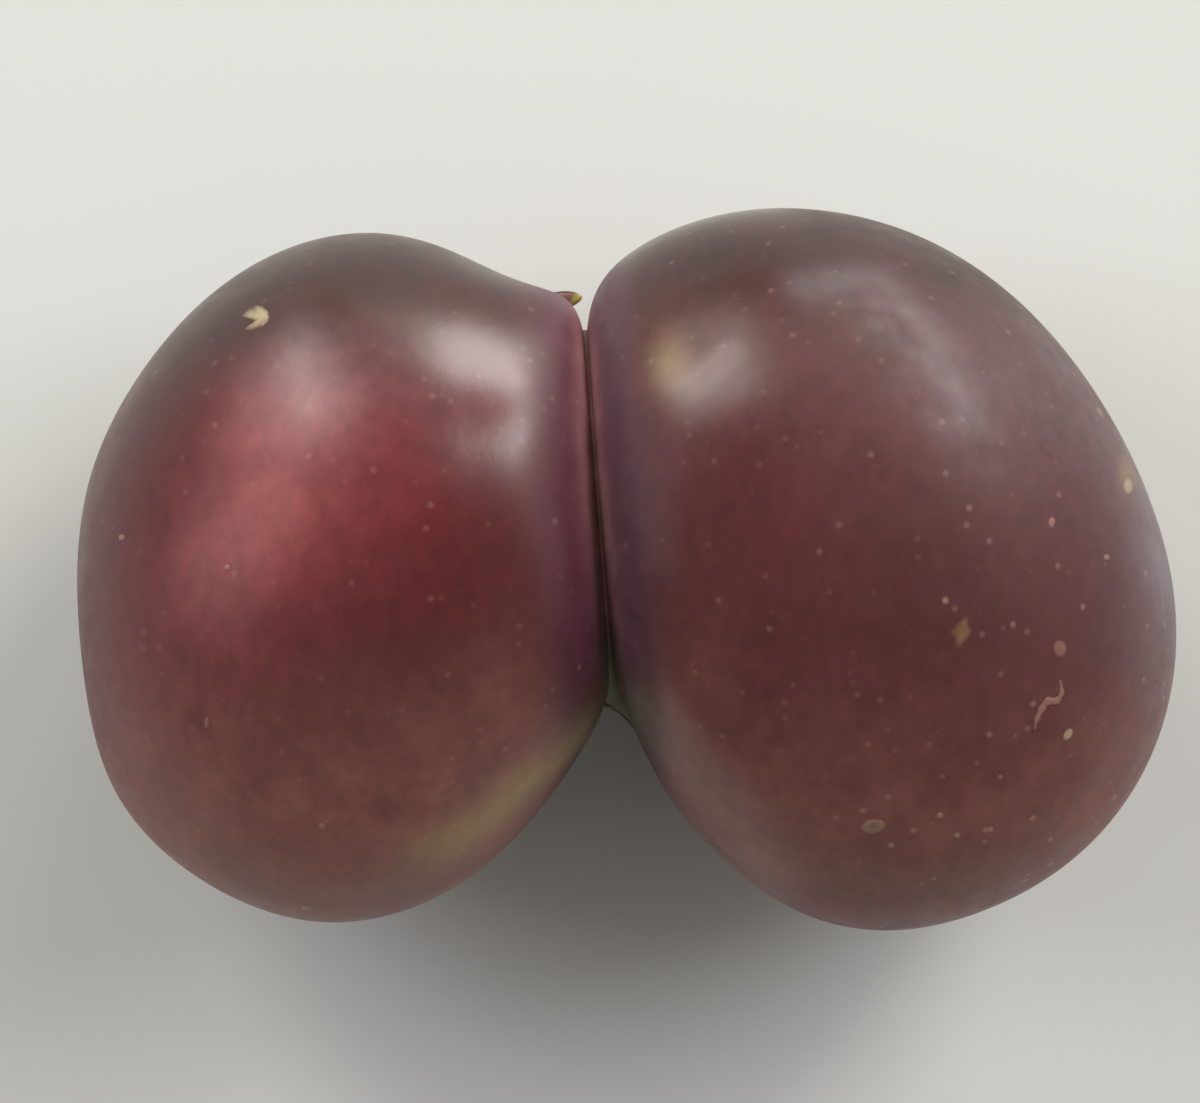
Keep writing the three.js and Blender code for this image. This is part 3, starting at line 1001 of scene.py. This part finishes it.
# %% Corky dots
DOT_HEIGHT = 0.025
CORKY_DOTS = [
    # lobe, place, long and short half length, turn, tone, share of pink
    (SMALL_LOBE, (-21.22, 1.39), 0.19, 0.17, 0, 0.34, 0.2),
    (SMALL_LOBE, (-16.52, 0.14), 0.16, 0.15, 0, 0.26, 0.4),
    (SMALL_LOBE, (-17.46, -6.28), 0.34, 0.14, 85, 0.24, 0.5),
    (SMALL_LOBE, (-12.75, -10.59), 0.17, 0.15, 0, 0.24, 0.4),
    (LARGE_LOBE, (18.14, -6.76), 0.36, 0.22, 55, 0.6, 0.2),
    (LARGE_LOBE, (17.69, -3.2), 0.46, 0.36, 100, 0.26, 1.0),
    (LARGE_LOBE, (17.37, 1.99), 0.3, 0.18, 80, 0.2, 1.0),
    (LARGE_LOBE, (19.8, 0.55), 0.18, 0.16, 0, 0.3, 0.4),
    (LARGE_LOBE, (15.29, -8.51), 0.16, 0.14, 0, 0.28, 0.5),
    (LARGE_LOBE, (12.85, -10.1), 0.18, 0.16, 0, 0.36, 0.5),
    (LARGE_LOBE, (13.61, -10.98), 0.18, 0.16, 0, 0.34, 0.5),
    (LARGE_LOBE, (15.0, -10.74), 0.17, 0.16, 0, 0.3, 0.5),
    (LARGE_LOBE, (21.02, 3.54), 0.44, 0.32, 75, 0.36, 0.0),
    (LARGE_LOBE, (19.97, 6.68), 0.36, 0.19, 120, 0.25, 0.4),
]
for number, (lobe, middle, long, short, turn, tone, pink) in enumerate(CORKY_DOTS, 1):
    rim = ellipse(long, short, turn)
    scab(f"corky_dot_{number:02d}", lobe, middle, rim, dome(DOT_HEIGHT), 7, 24, tone, pink=pink)

# %% [markdown]
# The russet patch
#
# Russet is cork that grew as a film on the skin. It is thinner than a scab: hardly raised, with a wide foot
# over which its colour fades out.

# %% Russet patch
RUSSET_MIDDLE = (13.56, -2.5)
RUSSET_RIM = [
    (20, 0.6), (45, 0.52), (75, 0.98), (100, 0.66), (150, 0.54), (180, 0.72), (215, 0.52), (255, 0.94),
    (285, 0.56), (330, 0.46),
]
RUSSET_HEIGHT = 0.012


def russet_mound(share, angle):
    """A mound with a wide thin foot: the square of 1 less the share squared."""
    return RUSSET_HEIGHT * (1 - share ** 2) ** 2


scab(
    "russet_patch", LARGE_LOBE, RUSSET_MIDDLE, outline(RUSSET_RIM), russet_mound,
    rows=14, columns=60, tone=0.5, field="russet",
)

# %% [markdown]
# The healed crack
#
# A thin bent crack on the large lobe closed with a thread of cork. It is a flattened round thread, laid
# along a path on the skin, tapered to both ends and a little beaded, as cork is that healed bit by bit.

# %% Healed crack
CRACK_PATH = np.array([
    (17.72, -4.45), (17.82, -5.05), (17.6, -5.38), (17.2, -5.33), (16.9, -5.75), (16.75, -6.12),
    (16.65, -6.6),
])
CRACK = {"half_width": 0.2, "height": 0.035, "rows": 60, "ends": (0.01, 0.99), "beads": 13, "beading": 0.12}
CRACK_LIFT = {"share": 0.7, "at_ends": 0.4}
CRACK_COLOUR = {"pink_cork": 0.42, "scar": 0.042, "full_at": 0.8}
SMOOTHINGS = 8


def tube_rings(middle, upright, across_width, height, columns=16):
    """Flattened rings along a line of points: the width times the cosine to the side, and the height times
    the sine upwards. Also gives how far each point is above the line."""
    side = np.cross(upright, unit(np.gradient(middle, axis=0)))
    around = np.arange(columns) * 2 * np.pi / columns
    across = across_width[:, None] * np.cos(around)
    up = height[:, None] * np.sin(around)
    return middle[:, None] + across[..., None] * side[:, None] + up[..., None] * upright[:, None], up


def crack_line(share):
    """Places at even shares of the crack's path, then smoothed: each becomes the mean of itself, counted
    twice, and its two neighbours."""
    lengths = np.linalg.norm(np.diff(CRACK_PATH, axis=0), axis=1)
    knots = np.append(0, np.cumsum(lengths))
    flat = np.stack([np.interp(share * knots[-1], knots, CRACK_PATH[:, i]) for i in (0, 1)], -1)
    for _ in range(SMOOTHINGS):
        flat[1:-1] = (flat[:-2] + 2 * flat[1:-1] + flat[2:]) / 4
    return flat


share = np.linspace(*CRACK["ends"], CRACK["rows"])
flat = crack_line(share)
middle, upright = skin_above(LARGE_LOBE, flat), skin_normals(LARGE_LOBE, flat)
beads = 1 - CRACK["beading"] + CRACK["beading"] * np.sin(CRACK["beads"] * np.pi * share)
taper = np.sqrt(np.sin(np.pi * share)) * beads
lift = CRACK_LIFT["share"] * CRACK["height"] * (CRACK_LIFT["at_ends"] + taper)
rings, up = tube_rings(middle, upright, CRACK["half_width"] * taper, lift)
crack_points, crack_quads, crack_fans = closed_rings(
    rings, middle[0] - SINK * upright[0], middle[-1] - SINK * upright[-1],
)
cork = np.append(smoothstep(up, 0, CRACK_COLOUR["full_at"] * CRACK["height"]).ravel(), [0, 0])
small_piece(
    "healed_crack", crack_points, crack_quads, crack_fans,
    pink_cork=CRACK_COLOUR["pink_cork"] * cork, scar=CRACK_COLOUR["scar"] * cork,
)

# %% [markdown]
# The web's torn edge
#
# The web of skin at the blossom end tore when the lobes grew apart. A thin, ragged, dark green edge is
# left. It runs across the web from lobe to lobe, and its ends lie inside the skin. It is a flattened thread
# like the crack's, moved in and out by chance and wider where it sticks out.

# %% Torn web
TORN_WEB = {"at": 184.0, "half_width": 0.14, "height": 0.1, "raggedness": 0.1, "flare": 3, "rows": 70}
TORN_SHADE = 0.5
RAG_BLUR = [0.25, 0.5, 0.25]

share = np.linspace(0.0, 1.0, TORN_WEB["rows"])
degrees = np.full_like(share, TORN_WEB["at"])
web_out = unit(seam_points(degrees, 0) - CONTACT["middle"])
rag = np.random.default_rng(5).uniform(-1, 1, TORN_WEB["rows"])
rag = np.convolve(rag, RAG_BLUR, mode="same") * TORN_WEB["raggedness"]
web_line = floor_points(degrees, share) + rag[:, None] * web_out
web_width = TORN_WEB["half_width"] * (1 + TORN_WEB["flare"] * np.abs(rag))
web_height = np.full_like(share, TORN_WEB["height"])
web_rings, _ = tube_rings(web_line, np.broadcast_to(UP, web_line.shape), web_width, web_height)
web_points, web_quads, web_fans = closed_rings(web_rings, web_line[0], web_line[-1])
everywhere, nowhere = np.ones(len(web_points)), np.zeros(len(web_points))
small_piece(
    "torn_web", web_points, web_quads, web_fans, green_web=everywhere, stem_shade=TORN_SHADE * everywhere,
    crease=nowhere, side_purple=nowhere,
)

# %% [markdown]
# The torn lip
#
# A flap of torn skin stands out over the stem hollow, brown along its upper edge and still yellow-green at
# its tip. It is a flattened drop turned round its own axis, with its root inside the small lobe.

# %% Torn lip
LIP = {
    "root": np.array([-3.8, 11.58, 10.6]), "tip": np.array([-1.95, 11.84, 11.15]), "half_width": 0.42,
    "flat": 0.5, "root_power": 6, "tip_power": 4, "tip_root": 0.7, "rows": 28, "columns": 36,
}


def lip_rings():
    """Rings round the lip's axis. With t the share of the way to the tip, their width is the square root of
    1 less (1 - t) to the root's power, times (1 less t to the tip's power) to the power of tip_root. So it
    rises fast from the root and narrows to the tip."""
    axis = LIP["tip"] - LIP["root"]
    along = np.arange(1, LIP["rows"]) / LIP["rows"]
    widening = np.sqrt(1 - (1 - along) ** LIP["root_power"])
    narrowing = (1 - along ** LIP["tip_power"]) ** LIP["tip_root"]
    side = unit(np.cross(axis, UP))
    top = unit(np.cross(side, axis))
    around = np.arange(LIP["columns"]) * 2 * np.pi / LIP["columns"]
    ring = np.cos(around)[:, None] * side + LIP["flat"] * np.sin(around)[:, None] * top
    width = LIP["half_width"] * widening * narrowing
    return LIP["root"] + along[:, None, None] * axis + width[:, None, None] * ring


lip_points, lip_quads, lip_fans = closed_rings(lip_rings(), LIP["root"], LIP["tip"])
print("lip length in mm:", np.linalg.norm(LIP["tip"] - LIP["root"]).round(2))

# %% [markdown]
# The lip's colours
#
# The upper edge dried to a dark brown. The tip is still green, up to a slanting line, and what lies between
# is a little pink. No bloom, painted highlight, painted groove light or purple reaches it.

# %% Colours of the lip
LIP_COLOUR = {
    "dark_edge": (11.96, 12.08), "green_from": (-2.55, -2.2), "green_below": (12.05, 11.88),
    "slant": 0.6, "slant_level": 11.8, "dark": 0.6, "pink": 0.25,
}
lip_x, lip_y = lip_points[:, 0], lip_points[:, 1]
lip_dark = smoothstep(lip_y, *LIP_COLOUR["dark_edge"])
lip_slant = lip_x + LIP_COLOUR["slant"] * (LIP_COLOUR["slant_level"] - lip_y)
lip_green = smoothstep(lip_slant, *LIP_COLOUR["green_from"]) * smoothstep(lip_y, *LIP_COLOUR["green_below"])
nowhere = np.zeros(len(lip_points))
small_piece(
    "torn_lip", lip_points, lip_quads, lip_fans,
    stem_shade=LIP_COLOUR["dark"] * lip_dark, fresh_tear=lip_green,
    pink_cork=LIP_COLOUR["pink"] * (1 - lip_green) * (1 - lip_dark),
    bloom=nowhere, crease=nowhere, side_purple=nowhere,
)
print("small pieces:", len(SMALL_PIECES))

# %% [markdown]
# The floor
#
# The photo shows the fruit on a pale, matte board. A single wide square stands in for it, a hair below the
# flat spots so that the two faces never fight for the same place.

# %% Floor
FLOOR_HALF = 400
FLOOR_GAP = 0.02
BOARD = {"colour": "#d7d6d0", "roughness": 0.7}
square = np.array([[-1, -1, 0], [1, -1, 0], [1, 1, 0], [-1, 1, 0]])
floor = make_piece("pale_floor", square * FLOOR_HALF - FLOOR_GAP * UP, np.array([[0, 1, 2, 3]]))
matte = bpy.data.materials.new("pale_matte_board")
matte.use_nodes = True
board_shader = matte.node_tree.nodes["Principled BSDF"]
board_shader.inputs["Base Color"].default_value = colour(BOARD["colour"])
board_shader.inputs["Roughness"].default_value = BOARD["roughness"]
floor.data.materials.append(matte)
print("floor:", 2 * FLOOR_HALF, "mm square")

# %% [markdown]
# The light
#
# Two windows behind the fruit make its shadow fall towards the camera's lower edge, and their reflections
# are the highlights on both shoulders. A bright curtain beside the right window draws the long soft arc on
# the large lobe. The walls to both sides are weak in reflection, but they are wide and light up the floor.
# Each is an area light that faces the fruit. The two fills, high over the walls, light only what is matte:
# a real wall is dull and broken up by shelves and frames, so it reflects less than it lights the floor.

# %% Windows and walls
WINDOWS = {
    # azimuth, elevation, width and height in mm, watts, tint, whether reflections show it
    "left_window": (120, 27, (340, 640), 5.3, "#f8f7ee", True),
    "left_wall": (160, 32, (1600, 840), 2.4, "#f3f5fb", True),
    "left_fill": (160, 38, (600, 500), 4.3, "#edf1fb", False),
    "right_window": (68, 12, (340, 360), 5.0, "#f8f5f2", True),
    "right_pane": (51, 33, (340, 520), 5.6, "#fbfaf6", True),
    "right_curtain": (68, 10, (1120, 360), 2.6, "#fff6e2", True),
    "right_wall": (20, 26, (1800, 920), 2.8, "#fbf9f2", True),
    "right_fill": (28, 38, (600, 500), 5.9, "#eff2fb", False),
}
WINDOW_DISTANCE = 1200
TARGET = np.array([0.0, 0.0, 12.0])


def soft_window(name, azimuth, elevation, size, power, tint, reflected):
    """An area light that faces the fruit from one direction. Its size is in mm and its power in watts."""
    light = bpy.data.lights.new(name, "AREA")
    light.shape = "RECTANGLE"
    light.size, light.size_y = size[0] * MM, size[1] * MM
    light.energy = power
    light.color = colour(tint)[:3]
    lamp = bpy.data.objects.new(name, light)
    lamp.visible_glossy = reflected
    back = aim(azimuth, elevation)
    side = unit(np.cross(UP, back))
    top = np.cross(back, side)
    turned = Matrix(np.stack([side, top, back], 1).tolist()).to_4x4()
    turned.translation = (TARGET + WINDOW_DISTANCE * back) * MM
    lamp.matrix_world = turned
    bpy.context.scene.collection.objects.link(lamp)
    return light


lights = [soft_window(name, *window) for name, window in WINDOWS.items()]
print("area lights:", len(lights), "with", round(sum(light.energy for light in lights), 2), "watts")

# %% [markdown]
# The room
#
# The rest of the room sends a weak, nearly white light from all sides. It keeps the shadows from going
# black. The view is set to Standard, so a colour given here comes out as the same colour in the picture.

# %% Room
ROOM = {"strength": 0.228, "tint": "#f0efec"}
world = bpy.data.worlds.new("soft_room")
world.use_nodes = True
world.node_tree.nodes["Background"].inputs["Color"].default_value = colour(ROOM["tint"])
world.node_tree.nodes["Background"].inputs["Strength"].default_value = ROOM["strength"]
bpy.context.scene.world = world
bpy.context.scene.view_settings.view_transform = "Standard"
print("room strength:", ROOM["strength"])

# %% [markdown]
# The camera
#
# The photo looks straight down on the fruit from close by. The lens follows from the width of the view at
# the height of the fruit's widest outline.

# %% Camera
AIM = np.array([-1.19, 0.80, 11.6])
CAMERA_HEIGHT = 200
VIEW_WIDTH = 51.95
SENSOR = 36
camera_data = bpy.data.cameras.new("photo_camera")
camera_data.sensor_width = SENSOR
camera_data.lens = SENSOR * CAMERA_HEIGHT / VIEW_WIDTH
camera = bpy.data.objects.new("photo_camera", camera_data)
camera.location = (AIM + shift + CAMERA_HEIGHT * UP) * MM
bpy.context.scene.collection.objects.link(camera)
bpy.context.scene.camera = camera
print("lens in mm:", round(camera_data.lens, 1))
